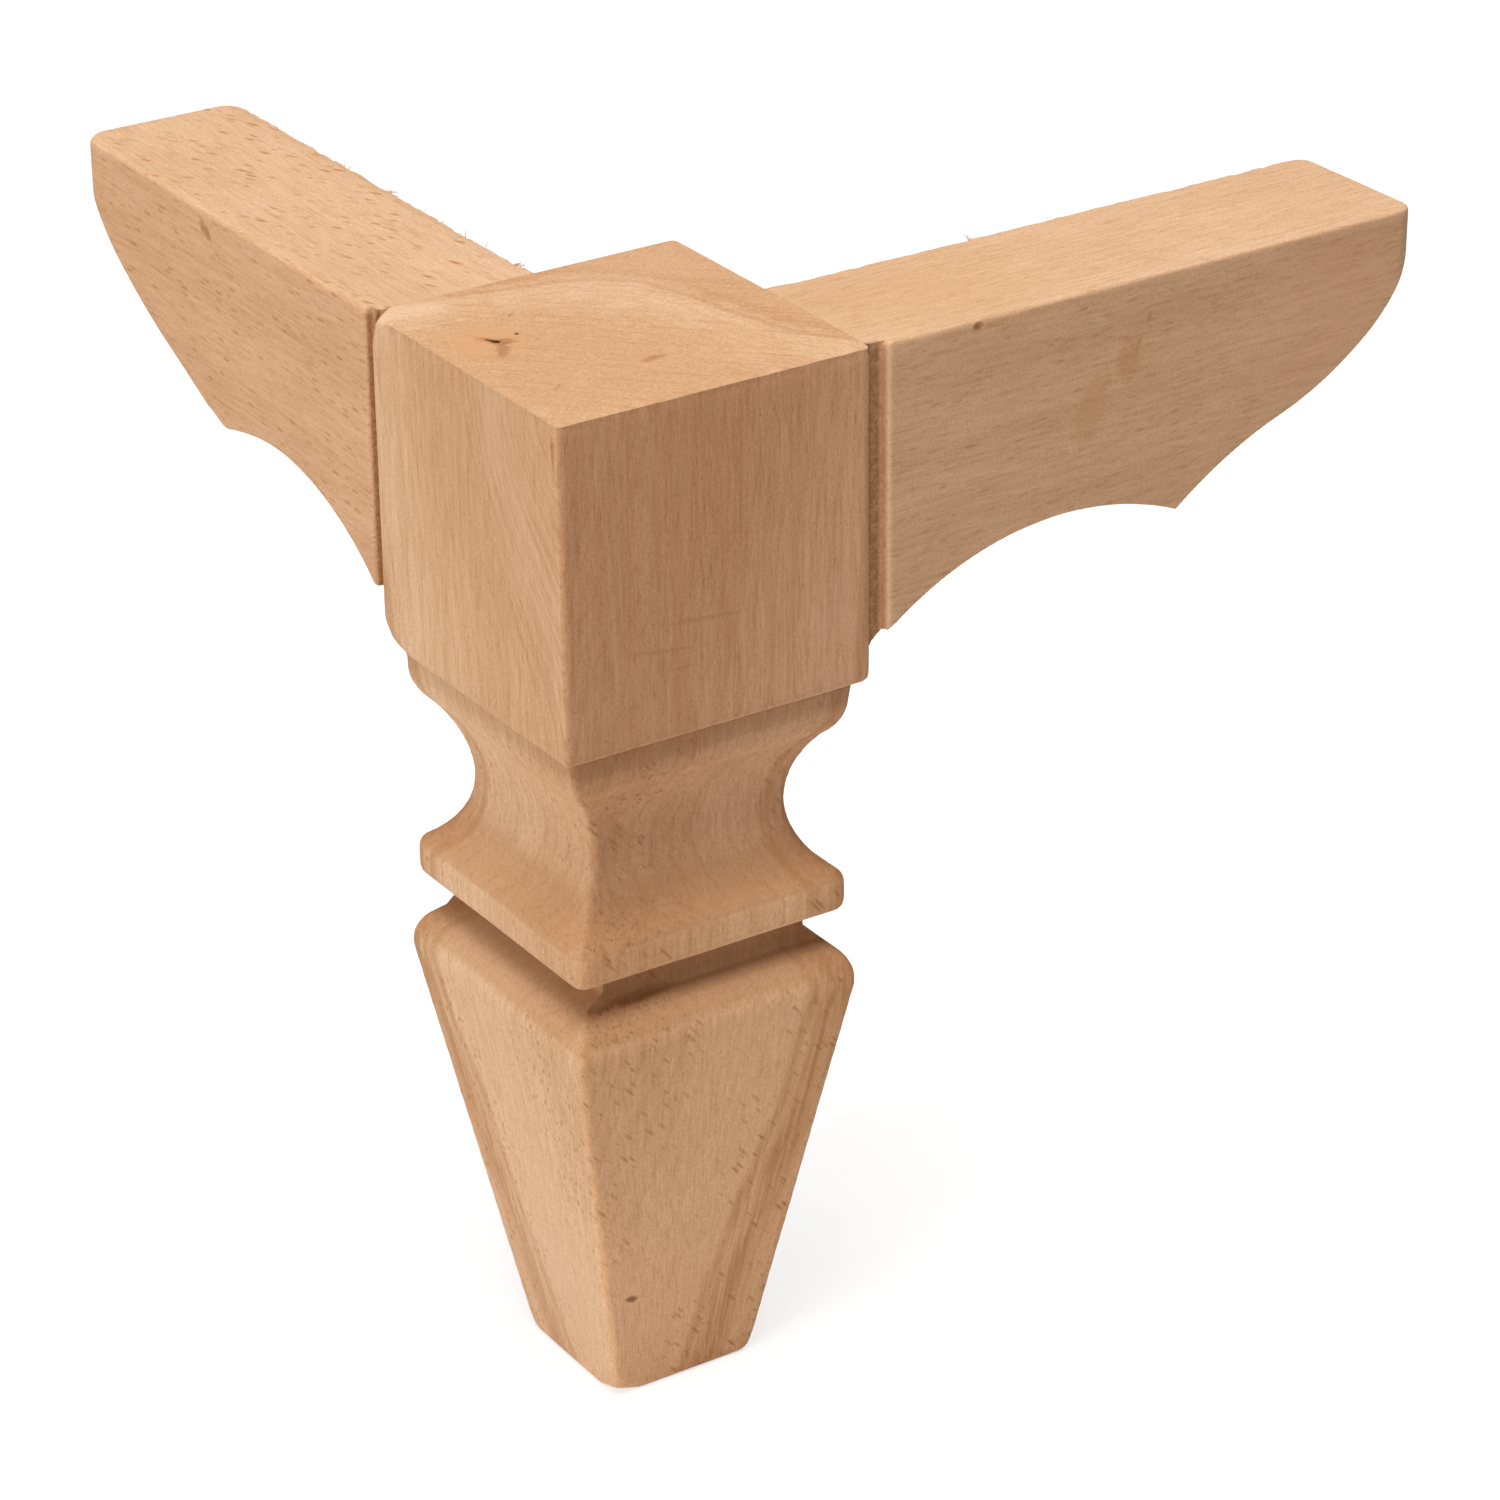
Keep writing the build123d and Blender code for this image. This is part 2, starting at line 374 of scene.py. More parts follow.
def rub_corner(piece, label, corner, reach, passes):
    """Rubs one corner round: reach gives how far the wear goes along each axis."""

    def near_corner(place, normal):
        away = place - Vector(corner)
        share = math.sqrt(sum((part / limit) ** 2 for part, limit in zip(away, reach)))
        return ease(share, 1.0, 0.4)

    rub(piece, label, near_corner, passes)


def dip(piece, label, size, depth, weigh):
    """Lowers a weighed zone unevenly, never raising it past the solid's own face."""
    zone = mark_zone(piece, label, weigh)
    clouds = bpy.data.textures.new(label, "CLOUDS")
    clouds.noise_scale = size * MM
    clouds.noise_depth = 2
    finish_with(
        piece, label, "DISPLACE", texture=clouds, texture_coords="LOCAL", direction="NORMAL",
        mid_level=1.0, strength=depth, vertex_group=zone,
    )


def gouge(piece, hollows):
    """Cuts small jagged hollows into a piece."""
    cutters = []
    for number, (place, radii, turn) in enumerate(hollows):
        bpy.ops.object.select_all(action="DESELECT")
        bpy.ops.mesh.primitive_ico_sphere_add(
            subdivisions=3, radius=1.0, location=Vector(place) * MM, rotation=(0, 0, math.radians(turn)),
            scale=Vector(radii) * MM,
        )
        bpy.ops.object.transform_apply(location=True, rotation=True, scale=True)
        bpy.ops.object.mode_set(mode="EDIT")
        bpy.ops.transform.vertex_random(offset=0.2 * min(radii) * MM, seed=number)
        bpy.ops.object.mode_set(mode="OBJECT")
        cutters.append(bpy.context.object)
    for cutter in cutters:
        cutter.select_set(True)
    bpy.ops.object.join()
    cutter = bpy.context.object
    finish_with(piece, "Gouge", "BOOLEAN", object=cutter, operation="DIFFERENCE", solver="EXACT")
    bpy.data.objects.remove(cutter)


def sanded_copy(node, name, fineness, keep_crisp):
    """A merged copy of a solid with an even mesh just inside it, sanded except where its edges stay crisp."""
    piece = bpy.data.objects.new(name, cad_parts[node].data.copy())
    piece.data.materials.clear()
    bpy.context.scene.collection.objects.link(piece)
    only(piece)
    bpy.ops.object.mode_set(mode="EDIT")
    bpy.ops.mesh.select_all(action="SELECT")
    bpy.ops.mesh.remove_doubles(threshold=0.01 * MM)
    bpy.ops.object.mode_set(mode="OBJECT")
    finish_with(
        piece, "Even mesh", "REMESH", mode="SHARP", octree_depth=8, scale=fineness, sharpness=1.0,
        use_remove_disconnected=False,
    )
    passes = bpy.context.scene.leg_shape.sanding
    rub(piece, "Sanding", lambda place, normal: 1.0 - keep_crisp(place), passes)
    finish_with(piece, "Inside the solid", "DISPLACE", strength=-0.02 * MM, mid_level=0.0)
    return piece


def settle(piece, material, node=None):
    """Shades a finished piece smooth, gives it its wood and ties it to the leg."""
    only(piece)
    bpy.ops.object.shade_smooth_by_angle(angle=math.radians(50))
    piece.data.materials.clear()
    piece.data.materials.append(material)
    piece.vertex_groups.clear()
    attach(piece, "root")
    if node:
        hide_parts(node)


def plug(tree, socket, value):
    """Fills a socket with a link or a value."""
    if isinstance(value, bpy.types.NodeSocket):
        tree.links.new(value, socket)
    else:
        socket.default_value = value


def add(tree, kind, *values, **settings):
    """Adds a shader node: its settings by name, then its inputs in order."""
    node = tree.nodes.new("ShaderNode" + kind)
    for name, value in settings.items():
        setattr(node, name, value)
    for socket, value in zip(node.inputs, values):
        plug(tree, socket, value)
    return node


def calc(tree, operation, *values):
    """Arithmetic on values, taken two at a time from the left."""
    result = add(tree, "Math", *values[:2], operation=operation).outputs[0]
    for value in values[2:]:
        result = add(tree, "Math", result, value, operation=operation).outputs[0]
    return result


def times(tree, *values):
    """The product of values."""
    return calc(tree, "MULTIPLY", *values)


def vector(tree, operation, *values):
    """One step of vector arithmetic."""
    node = add(tree, "VectorMath", *values, operation=operation)
    single = operation in ("DOT_PRODUCT", "LENGTH")
    return node.outputs["Value" if single else "Vector"]


def turned(tree, position, x=0.0, y=0.0, z=0.0):
    """A position turned about the origin, in degrees about each axis."""
    turn = (math.radians(x), math.radians(y), math.radians(z))
    return add(tree, "Mapping", position, (0, 0, 0), turn, (1, 1, 1)).outputs[0]


def ramp(tree, value, low, high, start=0.0, end=1.0):
    """Eases from start to end while the value goes from low to high."""
    node = add(tree, "MapRange", value, low, high, start, end, interpolation_type="SMOOTHSTEP")
    return node.outputs["Result"]


def swing(tree, value, amount):
    """Spreads a 0 to 1 value about zero by an amount."""
    return times(tree, calc(tree, "SUBTRACT", value, 0.5), amount)


def blend(tree, share, under, over, mode="MIX"):
    """Lays one colour over another."""
    node = add(tree, "Mix", data_type="RGBA", blend_type=mode)
    for place, value in ((0, share), (6, under), (7, over)):
        plug(tree, node.inputs[place], value)
    return node.outputs[2]


def cloud(tree, position, waves, detail=2.0, roughness=0.5):
    """Soft noise, stretched along the axes: waves are counted per millimetre."""
    node = add(tree, "TexNoise", vector(tree, "MULTIPLY", position, waves))
    node.inputs["Scale"].default_value = 1.0
    node.inputs["Detail"].default_value = detail
    node.inputs["Roughness"].default_value = roughness
    return node.outputs[0]


def tone_bands(tree, depth, stops):
    """Lightness along a depth: stops are pairs of depth and tone, in rising order."""
    low, high = stops[0][0], stops[-1][0]
    share = add(tree, "MapRange", depth, low, high).outputs["Result"]
    node = add(tree, "ValToRGB", share)
    points = node.color_ramp.elements
    for number, (place, tone) in enumerate(stops):
        point = points[number] if number < 2 else points.new(1.0)
        point.position = (place - low) / (high - low)
        point.color = (tone, tone, tone, 1)
    return node.outputs["Color"]


def new_group(name, inputs, outputs):
    """An empty shader node group with named sockets, and its two ends."""
    tree = bpy.data.node_groups.new(name, "ShaderNodeTree")
    for label, kind, value in inputs:
        tree.interface.new_socket(name=label, in_out="INPUT", socket_type=kind).default_value = value
    for label, kind in outputs:
        tree.interface.new_socket(name=label, in_out="OUTPUT", socket_type=kind)
    return tree, tree.nodes.new("NodeGroupInput").outputs, tree.nodes.new("NodeGroupOutput").inputs


def use(tree, group, **values):
    """Places a node group and fills its sockets: words in socket names are joined by underscores."""
    node = tree.nodes.new("ShaderNodeGroup")
    node.node_tree = group
    for name, value in values.items():
        plug(tree, node.inputs[name.replace("_", " ")], value)
    return node.outputs


def fleck_group():
    """Soft dashes scattered through the wood, lying along X of the given position."""
    tree, given, out = new_group(
        "Ray flecks",
        [("Position", VECTOR, (0, 0, 0)), ("Cell", VECTOR, (4, 1, 1)),
         ("Size", NUMBER, 0.25), ("Share", NUMBER, 0.7)],
        [("Mask", NUMBER)],
    )
    voronoi = add(tree, "TexVoronoi", feature="F1")
    plug(tree, voronoi.inputs["Vector"], vector(tree, "DIVIDE", given["Position"], given["Cell"]))
    plug(tree, voronoi.inputs["Scale"], 1.0)
    chance = add(tree, "SeparateColor", voronoi.outputs["Color"]).outputs
    size = times(tree, given["Size"], ramp(tree, chance[1], 0.0, 1.0, 0.65, 1.25))
    reach = calc(tree, "DIVIDE", voronoi.outputs["Distance"], size)
    present = calc(tree, "LESS_THAN", chance[0], given["Share"])
    depth = ramp(tree, chance[2], 0.0, 1.0, 0.4, 1.0)
    plug(tree, out["Mask"], times(tree, ramp(tree, reach, 0.3, 1.0, 1.0, 0.0), present, depth))
    return tree


def figure_group():
    """Straight beech: bands, fibres, grit and flecks, with Z of the grain position along the fibres."""
    tree, given, out = new_group(
        "Beech figure",
        [("Position", VECTOR, (0, 0, 0)), ("Grain", VECTOR, (0, 0, 0)), ("Band", NUMBER, 0.5),
         ("Fleck", NUMBER, 0.0), ("Streak", NUMBER, 1.0), ("Pale wood", COLOUR, (1, 1, 1, 1)),
         ("Brown wood", COLOUR, (1, 1, 1, 1)), ("Fleck wood", COLOUR, (1, 1, 1, 1))],
        [("Color", COLOUR), ("Relief", NUMBER)],
    )
    streaks = swing(tree, cloud(tree, given["Grain"], STREAK_WAVES), 1.0)
    streaks = times(tree, streaks, given["Streak"])
    patches = swing(tree, cloud(tree, given["Position"], PATCH_WAVES, 1.0), 0.5)
    tone = calc(tree, "ADD", given["Band"], streaks, patches)
    wood = blend(tree, ramp(tree, tone, -0.25, 1.25), given["Brown wood"], given["Pale wood"])
    wood = blend(tree, given["Fleck"], wood, given["Fleck wood"])
    fibres = cloud(tree, given["Grain"], FIBRE_WAVES, 2.0, 0.65)
    grit = cloud(tree, given["Position"], GRIT_WAVES, 1.0, 0.7)
    pores = use(
        tree, bpy.data.node_groups["Ray flecks"], Position=turned(tree, given["Grain"], y=90),
        Cell=(2.2, 0.42, 0.42), Size=0.32, Share=0.8,
    )["Mask"]
    threads = ramp(tree, cloud(tree, given["Grain"], THREAD_WAVES, 2.0, 0.6), 0.5, 0.7, 0.0, 0.13)
    shade = calc(tree, "ADD", swing(tree, fibres, 0.36), swing(tree, grit, 0.45), 0.035)
    shade = calc(tree, "SUBTRACT", shade, times(tree, pores, 0.17), threads)
    channels = [calc(tree, "ADD", times(tree, shade, pull), 1.0) for pull in DARKENING]
    tint = add(tree, "CombineColor", *channels).outputs[0]
    plug(tree, out["Color"], blend(tree, 1.0, wood, tint, "MULTIPLY"))
    relief = calc(tree, "ADD", times(tree, fibres, 0.7), times(tree, grit, 0.5))
    plug(tree, out["Relief"], relief)
    return tree


def stain_group():
    """A soft-edged spot of any three sizes, turned about an axis, with a ragged edge."""
    tree, given, out = new_group(
        "Stain",
        [("Position", VECTOR, (0, 0, 0)), ("Centre", VECTOR, (0, 0, 0)), ("Size", VECTOR, (1, 1, 1)),
         ("Axis", VECTOR, (0, 0, 1)), ("Turn", NUMBER, 0.0), ("Edge", NUMBER, 0.0)],
        [("Mask", NUMBER)],
    )
    away = vector(tree, "SUBTRACT", given["Position"], given["Centre"])
    spun = add(tree, "VectorRotate", rotation_type="AXIS_ANGLE")
    plug(tree, spun.inputs["Vector"], away)
    plug(tree, spun.inputs["Axis"], given["Axis"])
    plug(tree, spun.inputs["Angle"], given["Turn"])
    reach = vector(tree, "LENGTH", vector(tree, "DIVIDE", spun.outputs[0], given["Size"]))
    plug(tree, out["Mask"], ramp(tree, calc(tree, "ADD", reach, given["Edge"]), 0.3, 1.05, 1.0, 0.0))
    return tree


def ring_group():
    """Depth through the growth rings: flat across one diagonal, arched around the knot near the top."""
    tree, given, out = new_group("Growth rings", [("Position", VECTOR, (0, 0, 0))], [("Depth", NUMBER)])
    place = add(tree, "SeparateXYZ", given["Position"]).outputs
    diagonal = 1 / math.sqrt(2)
    side = times(tree, calc(tree, "SUBTRACT", place[0], place[1]), diagonal)
    depth = times(tree, calc(tree, "ADD", place[0], place[1]), diagonal)
    reach = calc(tree, "DIVIDE", calc(tree, "ADD", side, ARCH_SIDE), ARCH_REACH)
    arch = calc(tree, "EXPONENT", times(tree, reach, reach, -1.0))
    rise = ramp(tree, place[2], ARCH_FOOT, TOP + 8.0, 0.0, ARCH_RISE)
    lean = times(tree, calc(tree, "SUBTRACT", TOP, place[2]), RING_LEAN)
    depth = calc(tree, "ADD", calc(tree, "SUBTRACT", depth, times(tree, arch, rise)), lean)
    wander = swing(tree, cloud(tree, given["Position"], (0.09, 0.09, 0.03)), RING_WANDER)
    plug(tree, out["Depth"], calc(tree, "ADD", depth, wander))
    return tree


def shader_groups():
    """The node groups that the materials share, made once."""
    makers = {
        "flecks": ("Ray flecks", fleck_group),
        "figure": ("Beech figure", figure_group),
        "stain": ("Stain", stain_group),
        "rings": ("Growth rings", ring_group),
    }
    return {key: bpy.data.node_groups.get(name) or make() for key, (name, make) in makers.items()}


def new_material(name):
    """A wood material, its shader, its object position in millimetres and its surface normal."""
    material = bpy.data.materials.new(name)
    material.use_nodes = True
    tree = material.node_tree
    surface = tree.nodes["Principled BSDF"]
    surface.inputs["Roughness"].default_value = bpy.context.scene.leg_wood.roughness
    surface.inputs["Specular IOR Level"].default_value = 0.05
    source = add(tree, "TexCoord").outputs
    scale = (1 / MM,) * 3
    position = add(tree, "Mapping", source["Object"], (0, 0, 0), (0, 0, 0), scale).outputs[0]
    normal = add(tree, "SeparateXYZ", source["Normal"]).outputs
    return material, tree, surface, position, normal


def lay_stains(tree, groups, colour, position, stains):
    """Lays stains over a colour, one after another, with ragged edges."""
    edge = swing(tree, cloud(tree, position, (0.9, 0.9, 0.9), 2.0, 0.6), 1.2)
    for centre, size, tint, strength, axis, turn in stains:
        mask = use(
            tree, groups["stain"], Position=position, Centre=centre, Size=size, Axis=axis,
            Turn=math.radians(-turn), Edge=edge,
        )["Mask"]
        colour = blend(tree, times(tree, mask, strength), colour, tint)
    return colour


def show_wood(tree, surface, colour, relief):
    """Gives a surface its colour, and bumps it with the wood's relief."""
    plug(tree, surface.inputs["Base Color"], colour)
    bump = add(tree, "Bump")
    bump.inputs["Strength"].default_value = 1.0
    bump.inputs["Distance"].default_value = bpy.context.scene.leg_wood.relief
    plug(tree, bump.inputs["Height"], relief)
    plug(tree, surface.inputs["Normal"], bump.outputs["Normal"])


def post_bands(tree, depth, height):
    """Lightness of the post's wood: ring bands, each with a dark line, browner at the top and paler below,
    the paler foot partly painted bounce light from the floor and partly paler wood.
    """
    bands = tone_bands(tree, depth, RING_TONES)
    rings = calc(tree, "FRACT", calc(tree, "DIVIDE", depth, RING_WIDTH))
    line = times(tree, ramp(tree, rings, 0.6, 0.95), ramp(tree, rings, 1.0, 0.96))
    bands = calc(tree, "SUBTRACT", bands, times(tree, line, 0.25))
    bands = calc(tree, "SUBTRACT", bands, ramp(tree, height, 105.0, TOP, 0.05, 0.4))
    # Paler towards the foot: partly painted bounce light from the floor, partly paler wood
    return calc(tree, "ADD", bands, ramp(tree, height, 80.0, 55.0, 0.0, 0.4))


def post_flecks(tree, groups, position, depth, height, upward):
    """Ray flecks beside a quiet band down the post: faint on the block and slopes, and none on its top."""
    flecks = use(
        tree, groups["flecks"], Position=turned(tree, position, y=130), Cell=(4.6, 0.85, 0.85),
        Size=0.37, Share=0.75,
    )["Mask"]
    before = ramp(tree, depth, -9.0, -14.0, 0.12, 1.0)
    beyond = ramp(tree, depth, -5.0, 0.5, 0.12, 1.0)
    on_sides = times(tree, ramp(tree, upward, 0.86, 0.97, 1.0, 0.0), ramp(tree, upward, 0.5, 0.2, 0.3, 1.0))
    strength = times(tree, ramp(tree, height, 118.0, 95.0, 0.2, 0.75), on_sides)
    return times(tree, flecks, calc(tree, "MAXIMUM", before, beyond), strength)


def end_grain(tree, colour, position, upward, tint):
    """Dark streaks across the post's top, where the wood is cut endwise."""
    streaks = cloud(tree, turned(tree, position, z=45), (0.06, 1.6, 0.2), 3.0, 0.6)
    streaks = times(tree, ramp(tree, streaks, 0.5, 0.7), ramp(tree, upward, 0.86, 0.97), 0.3)
    return blend(tree, streaks, colour, tint)


def growth_line(tree, depth, middle, width):
    """A soft line where one growth ring ends."""
    away = calc(tree, "ABSOLUTE", calc(tree, "SUBTRACT", depth, middle))
    return ramp(tree, away, width, 0.1 * width)


def growth_lines(tree, colour, grain, depth, height):
    """Two warm lines down the post, broken up by the fibres and strongest on the foot."""
    narrow = times(tree, growth_line(tree, depth, 1.6, 1.4), 0.7)
    lines = calc(tree, "MAXIMUM", narrow, growth_line(tree, depth, 4.4, 3.4))
    lines = times(tree, lines, ramp(tree, height, 110.0, 60.0, 0.7, 1.35))
    threads = cloud(tree, grain, (1.1, 1.1, 0.025), 2.0, 0.6)
    lines = times(tree, lines, ramp(tree, threads, 0.35, 0.62, 0.12, 0.45))
    return blend(tree, lines, colour, WARM_LINE)


def left_block_figure(tree, colour, depth, height, normal):
    """The block's left face: a pinker zone, and fine arcs of the growth rings around the knot."""
    leftward = times(tree, ramp(tree, normal[0], -0.3, -0.8), ramp(tree, height, 100.0, 116.0))
    pink = times(tree, ramp(tree, depth, -29.5, -34.5), ramp(tree, depth, -46.0, -38.0), leftward)
    colour = blend(tree, times(tree, pink, 0.28), colour, PINK)
    across = add(tree, "CombineXYZ", depth, 0.0, height).outputs[0]
    arcs = ramp(tree, cloud(tree, across, (1.5, 1.0, 0.06), 3.0, 0.65), 0.46, 0.66)
    arcs = times(tree, arcs, ramp(tree, depth, -19.0, -29.0), leftward)
    return blend(tree, times(tree, arcs, 0.42), colour, WARM_LINE)


def post_shading_and_tone(tree, colour, height, normal):
    """Painted shade on the front face, warmer on the foot and duller on the block, and the foot paler towards
    the floor, partly painted bounce light from the floor and partly paler wood.
    """
    # Painted shade on the faces turned to the front, warmer on the foot
    tone = blend(tree, ramp(tree, height, 60.0, 112.0), SHADED_FOOT_TINT, SHADED_BLOCK_TINT)
    colour = blend(tree, ramp(tree, normal[1], -0.3, -0.8), colour, tone, "MULTIPLY")
    # The foot brightened towards the floor: partly painted bounce light, partly paler wood
    return blend(tree, 1.0, colour, ramp(tree, height, 66.0, 0.0, 1.02, 1.14), "MULTIPLY")


def cutter_marks_and_recess_shade(tree, colour, position, normal, torn):
    """Warmer slopes with torn pits near the front corner, and painted shade, partly browner cut wood, in the
    neck, the cove's crease and the step under the block, deepest on the front faces.
    """
    place = add(tree, "SeparateXYZ", position).outputs
    slope = times(tree, ramp(tree, normal[2], 0.25, 0.5), ramp(tree, place[2], 106.0, 96.0))
    colour = blend(tree, times(tree, slope, 0.48), colour, torn)
    corner = ramp(tree, calc(tree, "ADD", place[0], place[1]), -20.0, -36.0)
    pits = ramp(tree, cloud(tree, position, (1.8, 1.8, 1.3), 3.0, 0.6), 0.52, 0.7)
    pits = times(tree, pits, slope, corner, ramp(tree, normal[0], -0.35, 0.0, 0.45, 1.0))
    colour = blend(tree, times(tree, pits, 0.5), colour, BURN_AND_SHADE)
    # Painted shade, partly burn, in the neck, the cove's crease and the step under the block, deeper on the
    # faces turned to the front
    stain = calc(tree, "SUBTRACT", 1.0, tone_bands(tree, place[2], RECESS_SHADE_AND_BURN_TONES))
    stain = times(tree, stain, ramp(tree, normal[1], -0.3, -0.8, 0.9, 1.4))
    return blend(tree, stain, colour, BURN_AND_SHADE)


def post_stains(wood):
    """The post's spots: pale patches, the knot and dashes on top, scratches and chips on its faces, and
    painted shade, partly burn, in the neck by the front corner.
    """
    return (
        ((12.0, 15.0, TOP), (16.0, 14.0, 3.0), FADED, 0.13, UPRIGHT, 0),
        ((-14.5, 0.0, 14.0), (6.0, 16.0, 24.0), FADED, 0.25, UPRIGHT, 0),
        ((-20.0, 23.0, TOP), (9.0, 5.0, 7.0), PALE_EDGE, 0.4, UPRIGHT, 0),
        ((-17.0, 7.0, TOP), (7.0, 7.0, 5.0), WARM, 0.6, UPRIGHT, 0),
        ((-16.3, 2.6, TOP), (1.2, 3.8, 3.0), RED, 0.6, UPRIGHT, -35),
        ((-14.6, 5.1, TOP), (2.2, 1.7, 3.0), RED, 0.6, UPRIGHT, -20),
        (KNOT, (1.1, 3.2, 3.0), RED, 0.6, UPRIGHT, KNOT_TURN),
        (KNOT, (0.45, 1.5, 3.0), wood.bark, 0.8, UPRIGHT, KNOT_TURN),
        ((-15.6, 5.6, TOP), (0.7, 1.0, 3.0), wood.bark, 0.9, UPRIGHT, KNOT_TURN),
        (PINHOLE, (0.4, 0.45, 2.0), BURN_AND_SHADE, 0.85, UPRIGHT, 0),
        ((-9.0, 13.0, TOP), (0.3, 1.0, 1.0), RED, 0.6, UPRIGHT, -50),
        ((-1.3, -11.0, TOP), (2.8, 0.9, 1.0), RED, 0.55, UPRIGHT, 5),
        ((-17.2, -12.7, TOP), (0.4, 2.0, 1.0), RED, 0.3, UPRIGHT, -50),
        ((-10.5, -15.2, 18.3), (1.4, 2.0, 0.7), BURN_AND_SHADE, 0.8, ALONG_Y, 20),
        ((-2.8, -HALF, 127.4), (9.0, 2.0, 0.5), wood.fleck, 0.3, ALONG_Y, 5),
        ((-10.0, -HALF, 124.4), (7.0, 2.0, 0.45), wood.fleck, 0.28, ALONG_Y, 8),
        ((-6.3, -HALF, 121.0), (2.6, 2.0, 0.4), wood.fleck, 0.25, ALONG_Y, 0),
        ((-HALF, -23.2, 155.8), (2.0, 0.5, 3.0), RED, 0.55, UPRIGHT, 0),
        # Painted shade, partly burn, in the neck beside the front corner
        ((-11.0, -19.2, 70.2), (8.0, 1.6, 1.3), BURN_AND_SHADE, 0.6, UPRIGHT, 0),
    )


def post_material(groups):
    """The post: grain upright, rings arched around the knot, end grain on top and torn mouldings."""
    wood = bpy.context.scene.leg_wood
    material, tree, surface, position, normal = new_material("Post beech")
    upward = normal[2]
    height = add(tree, "SeparateXYZ", position).outputs[2]
    narrowing = ramp(tree, height, 0.0, SHOULDER, 0.5, 1.0)
    grain = vector(tree, "DIVIDE", position, add(tree, "CombineXYZ", narrowing, narrowing, 1.0).outputs[0])
    depth = use(tree, groups["rings"], Position=position)["Depth"]
    figure = use(
        tree, groups["figure"], Position=position, Grain=grain, Band=post_bands(tree, depth, height),
        Fleck=post_flecks(tree, groups, position, depth, height, upward),
        Pale_wood=wood.pale, Brown_wood=wood.brown, Fleck_wood=wood.fleck,
    )
    colour = end_grain(tree, figure["Color"], position, upward, wood.fleck)
    colour = growth_lines(tree, colour, grain, depth, height)
    colour = left_block_figure(tree, colour, depth, height, normal)
    colour = post_shading_and_tone(tree, colour, height, normal)
    colour = cutter_marks_and_recess_shade(tree, colour, position, normal, wood.torn)
    colour = lay_stains(tree, groups, colour, position, post_stains(wood))
    show_wood(tree, surface, colour, figure["Relief"])
    return material


def groove_colour(tree, colour, position, groove):
    """The groove beside the post: a dark line of painted shadow cast by the post, a granular brown floor and,
    on one side, a pale arris with a painted highlight.
    """
    along = calc(tree, "SUBTRACT", vector(tree, "DOT_PRODUCT", position, groove.out), HALF)
    deep = calc(tree, "ADD", vector(tree, "DOT_PRODUCT", position, groove.inward), HALF)
    height = add(tree, "SeparateXYZ", position).outputs[2]
    floor = times(
        tree, ramp(tree, height, TOP, TOP - 1.5, 0.4, 1.0), ramp(tree, deep, 0.3, 0.8),
        ramp(tree, deep, 2.0, 1.6), ramp(tree, along, groove.width + 0.1, groove.width - 0.5),
    )
    grains = cloud(tree, position, (1.8, 1.8, 1.8), 2.0, 0.7)
    brown = times(tree, floor, ramp(tree, grains, 0.62, 0.4, 0.5, 0.95))
    colour = blend(tree, brown, colour, GROOVE_BROWN)
    # Painted shadow that the post casts along the groove's floor
    line = times(tree, floor, ramp(tree, along, 0.9, 0.2), 0.9)
    colour = blend(tree, line, colour, BURN_AND_SHADE)
    # Painted highlight on the pale outer arris, as strong as the groove's pale setting
    aside = calc(tree, "SUBTRACT", along, groove.width + 0.2)
    from_arris = vector(tree, "LENGTH", add(tree, "CombineXYZ", aside, deep, 0.0).outputs[0])
    return blend(tree, ramp(tree, from_arris, 0.8, 0.3, 0.0, groove.pale), colour, PALE_EDGE)


def bracket_bands(tree, grain, position, direction):
    """Lightness of a bracket's wood: gentle waves that wander along the grain."""
    wander = times(tree, cloud(tree, grain, (0.08, 0.08, 0.01), 1.0), 9.0)
    depth = calc(tree, "ADD", vector(tree, "DOT_PRODUCT", position, direction), wander)
    waves = calc(tree, "ADD", calc(tree, "SINE", times(tree, depth, 0.55)), 1.0)
    return calc(tree, "ADD", times(tree, waves, 0.09), 0.56)


def bracket_material(groups, look, stains):
    """A bracket: grain along its length, flecks on its top and sides, a brown groove beside the post, and
    painted shade on its sides.
    """
    wood = bpy.context.scene.leg_wood
    material, tree, surface, position, normal = new_material(look.name)
    grain = turned(tree, position, **look.grain)
    upward = ramp(tree, normal[2], 0.6, 0.9)
    beside = calc(tree, "SUBTRACT", 1.0, upward)
    on_side = use(
        tree, groups["flecks"], Position=turned(tree, position, **look.side_turn), Cell=(4.0, 0.75, 0.9),
        Size=0.36, Share=0.8,
    )["Mask"]
    on_top = use(
        tree, groups["flecks"], Position=turned(tree, position, **look.top_turn), Cell=(3.6, 1.1, 1.3),
        Size=0.4, Share=0.8,
    )["Mask"]
    flecks = calc(
        tree, "ADD", times(tree, on_side, beside, look.side_fleck),
        times(tree, on_top, upward, look.top_fleck),
    )
    figure = use(
        tree, groups["figure"], Position=position, Grain=grain, Fleck=flecks, Streak=BRACKET_STREAK,
        Band=bracket_bands(tree, grain, position, look.bands),
        Pale_wood=wood.pale, Brown_wood=wood.brown, Fleck_wood=DASH,
    )
    # Painted shade: the sides darker and warmer than the top
    colour = blend(tree, beside, figure["Color"], SIDE_SHADE_TINT, "MULTIPLY")
    colour = lay_stains(tree, groups, colour, position, stains)
    colour = groove_colour(tree, colour, position, look.groove)
    show_wood(tree, surface, colour, figure["Relief"])
    return material


